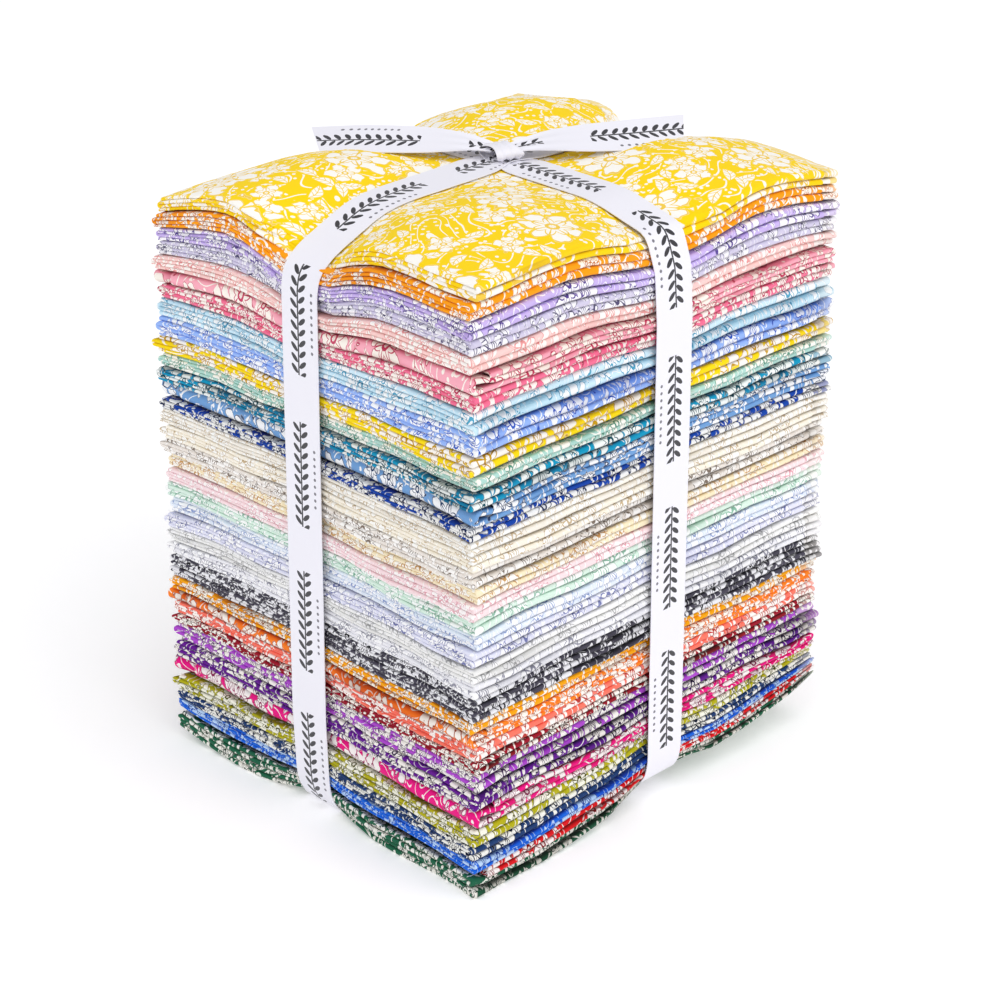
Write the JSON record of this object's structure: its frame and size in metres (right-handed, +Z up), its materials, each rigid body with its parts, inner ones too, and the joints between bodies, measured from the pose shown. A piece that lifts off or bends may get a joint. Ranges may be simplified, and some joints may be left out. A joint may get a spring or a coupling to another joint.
{
  "type": "stack of folded fat quarters tied with ribbon",
  "caption": "Square-cornered stack of folded printed cotton cuts, tied both ways with a ribbon knotted on top, standing on its own folded underside.",
  "frame": {"origin": "centre of the underside, on the surface it rests on", "axes": "+Z up; X runs across the four-layer folds, Y along the fold lines; the picture looks from +X and -Y"},
  "size_m": [0.136, 0.155, 0.1991],
  "materials": {
    "cotton_01": "matte printed cotton",
    "cotton_02": "matte printed cotton",
    "cotton_03": "matte printed cotton",
    "cotton_04": "matte printed cotton",
    "cotton_05": "matte printed cotton",
    "cotton_06": "matte printed cotton",
    "cotton_07": "matte printed cotton",
    "cotton_08": "matte printed cotton",
    "cotton_09": "matte printed cotton",
    "cotton_10": "matte printed cotton",
    "cotton_11": "matte printed cotton",
    "cotton_12": "matte printed cotton",
    "cotton_13": "matte printed cotton",
    "cotton_14": "matte printed cotton",
    "cotton_15": "matte printed cotton",
    "cotton_16": "matte printed cotton",
    "cotton_17": "matte printed cotton",
    "cotton_18": "matte printed cotton",
    "cotton_19": "matte printed cotton",
    "cotton_20": "matte printed cotton",
    "cotton_21": "matte printed cotton",
    "cotton_22": "matte printed cotton",
    "cotton_23": "matte printed cotton",
    "cotton_24": "matte printed cotton",
    "cotton_25": "matte printed cotton",
    "cotton_26": "matte printed cotton",
    "cotton_27": "matte printed cotton",
    "cotton_28": "matte printed cotton",
    "cotton_29": "matte printed cotton",
    "cotton_30": "matte printed cotton",
    "cotton_31": "matte printed cotton",
    "cotton_32": "matte printed cotton",
    "cotton_33": "matte printed cotton",
    "cotton_34": "matte printed cotton",
    "cotton_35": "matte printed cotton",
    "cotton_36": "matte printed cotton",
    "cotton_37": "matte printed cotton",
    "cotton_38": "matte printed cotton",
    "ribbon": "smooth printed satin ribbon"
  },
  "bodies": {
    "root": {"fat_quarter_01": "cotton_01", "fat_quarter_02": "cotton_02", "fat_quarter_03": "cotton_03", "fat_quarter_04": "cotton_04", "fat_quarter_05": "cotton_05", "fat_quarter_06": "cotton_06", "fat_quarter_07": "cotton_07", "fat_quarter_08": "cotton_08", "fat_quarter_09": "cotton_09", "fat_quarter_10": "cotton_10", "fat_quarter_11": "cotton_11", "fat_quarter_12": "cotton_12", "fat_quarter_13": "cotton_13", "fat_quarter_14": "cotton_14", "fat_quarter_15": "cotton_15", "fat_quarter_16": "cotton_16", "fat_quarter_17": "cotton_17", "fat_quarter_18": "cotton_18", "fat_quarter_19": "cotton_19", "fat_quarter_20": "cotton_20", "fat_quarter_21": "cotton_21", "fat_quarter_22": "cotton_22", "fat_quarter_23": "cotton_23", "fat_quarter_24": "cotton_24", "fat_quarter_25": "cotton_25", "fat_quarter_26": "cotton_26", "fat_quarter_27": "cotton_27", "fat_quarter_28": "cotton_28", "fat_quarter_29": "cotton_29", "fat_quarter_30": "cotton_30", "fat_quarter_31": "cotton_31", "fat_quarter_32": "cotton_32", "fat_quarter_33": "cotton_33", "fat_quarter_34": "cotton_34", "fat_quarter_35": "cotton_35", "fat_quarter_36": "cotton_36", "fat_quarter_37": "cotton_37", "fat_quarter_38": "cotton_38", "ribbon": "ribbon"}
  },
  "joints": []
}
